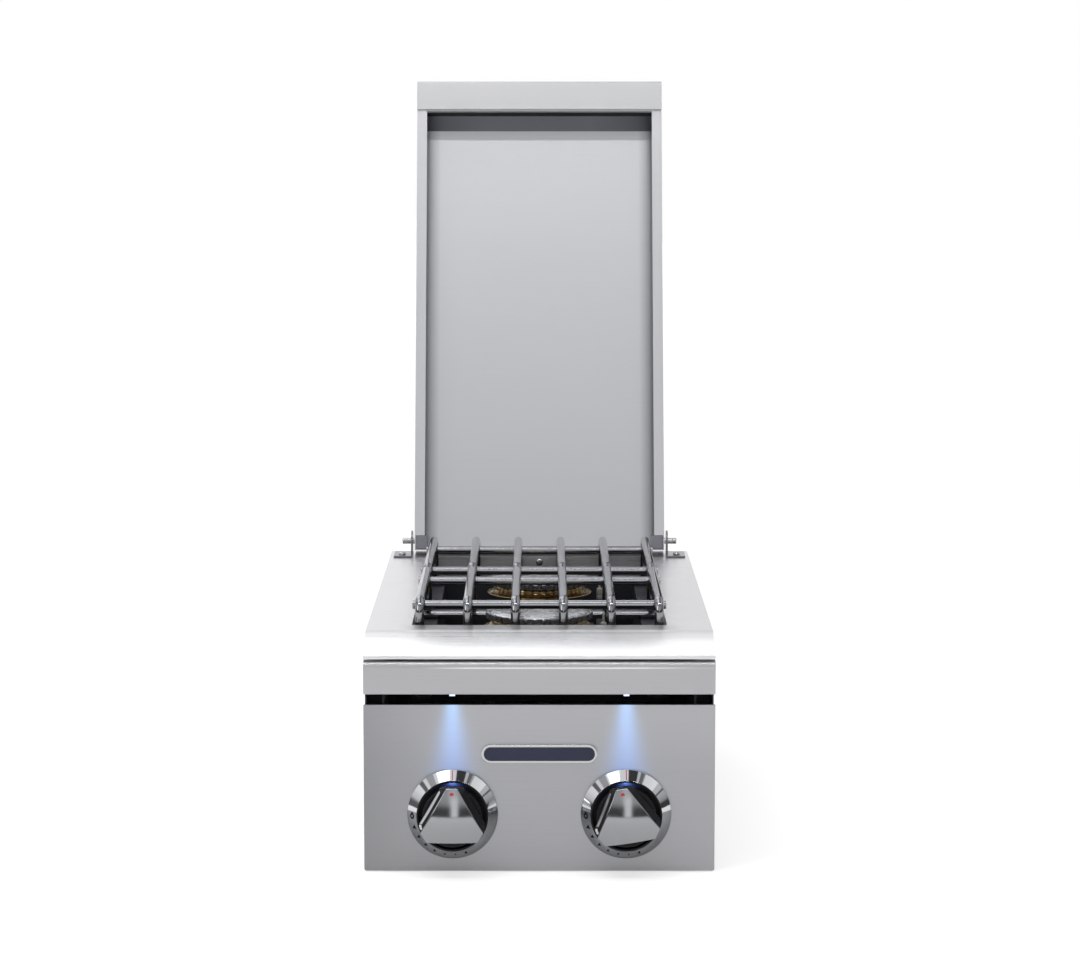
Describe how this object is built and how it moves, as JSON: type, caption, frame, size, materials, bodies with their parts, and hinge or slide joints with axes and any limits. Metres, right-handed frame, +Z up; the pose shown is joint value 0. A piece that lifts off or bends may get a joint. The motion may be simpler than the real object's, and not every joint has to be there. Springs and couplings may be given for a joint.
{
  "type": "built in side burner",
  "caption": "Built-in stainless gas side burner with a hinged lid, lift-off rod grates over brass burners, and a lit front panel with push-and-turn knobs.",
  "frame": {"origin": "middle of the underside of the casing", "axes": "+Z up, +X to the right as seen from the front, -Y towards the person at the knobs"},
  "size_m": [0.341, 0.7797, 0.7684],
  "materials": {
    "stainless": "fine horizontal brushed grain",
    "casing": "mill finish sheet",
    "bowl": "dark heat-tinted enamel, satin",
    "grate_rod": "polished bent stainless rod",
    "cap": "satin cast stainless with a notched rim",
    "brass": "satin machined brass",
    "ceramic": "glazed white ceramic",
    "black_plastic": "moulded black",
    "bezel_chrome": "mirror chrome",
    "knob_chrome": "satin chrome face with bright edges",
    "hardware": "plain polished steel",
    "red_enamel": "glossy red",
    "lamp_lens": "frosted clear",
    "inlay": "dark blue-black enamel"
  },
  "bodies": {
    "root": {"deck": "stainless", "front_rail": "stainless", "left_rail_cheek": "bowl", "right_rail_cheek": "bowl", "control_panel": "stainless", "casing_bottom": "casing", "casing_left": "casing", "casing_right": "casing", "casing_back": "casing", "burner_bowl": "bowl", "front_burner_cap": "cap", "rear_burner_cap": "cap", "front_burner_body": "brass", "rear_burner_body": "brass", "front_support_rail": "grate_rod", "rear_support_rail": "grate_rod", "front_igniter": "ceramic", "rear_igniter": "ceramic", "spark_box": "black_plastic", "blank_plate": "bezel_chrome", "plate_inlay": "inlay", "gas_manifold": "casing", "gas_inlet_fitting": "brass", "rear_wall_screw": "hardware", "left_valve_body": "brass", "left_orifice": "brass", "left_mixing_tube": "casing", "left_air_shutter": "casing", "left_bezel": "bezel_chrome", "left_panel_lamp": "lamp_lens", "left_hinge_bracket": "hardware", "left_hinge_pin": "hardware", "left_foot_screw": "hardware", "right_valve_body": "brass", "right_orifice": "brass", "right_mixing_tube": "casing", "right_air_shutter": "casing", "right_bezel": "bezel_chrome", "right_panel_lamp": "lamp_lens", "right_hinge_bracket": "hardware", "right_hinge_pin": "hardware", "right_foot_screw": "hardware"},
    "lid": {"lid_shell": "stainless", "lid_lip": "stainless", "left_lid_lug": "hardware", "right_lid_lug": "hardware"},
    "front_grate": {"front_grate": "grate_rod"},
    "rear_grate": {"rear_grate": "grate_rod"},
    "left_valve_plug": {"left_valve_rotor": "brass"},
    "left_knob": {"left_knob": "knob_chrome", "left_stem": "hardware", "left_knob_dot": "red_enamel"},
    "right_valve_plug": {"right_valve_rotor": "brass"},
    "right_knob": {"right_knob": "knob_chrome", "right_stem": "hardware", "right_knob_dot": "red_enamel"}
  },
  "joints": [
    {"name": "lid_hinge", "type": "hinge", "parent": "root", "child": "lid", "pos_m": [0, 0.277, 0.2461], "axis": [-1, 0, 0], "range_deg": [-106, 0]},
    {"name": "front_grate_lift", "type": "slide", "parent": "root", "child": "front_grate", "axis": [0, 0, 1], "range_m": [0, 0.06]},
    {"name": "rear_grate_lift", "type": "slide", "parent": "root", "child": "rear_grate", "axis": [0, 0, 1], "range_m": [0, 0.06]},
    {"name": "left_knob_turn", "type": "hinge", "parent": "root", "child": "left_valve_plug", "pos_m": [-0.0842, -0.3, 0.057], "axis": [0, -1, 0], "range_deg": [0, 200]},
    {"name": "left_knob_push", "type": "slide", "parent": "left_valve_plug", "child": "left_knob", "axis": [0, 1, 0], "range_m": [0, 0.0035], "stiffness_N_per_m": 600},
    {"name": "right_knob_turn", "type": "hinge", "parent": "root", "child": "right_valve_plug", "pos_m": [0.0842, -0.3, 0.057], "axis": [0, -1, 0], "range_deg": [-9, 191]},
    {"name": "right_knob_push", "type": "slide", "parent": "right_valve_plug", "child": "right_knob", "axis": [0, 1, 0], "range_m": [0, 0.0035], "stiffness_N_per_m": 600}
  ]
}
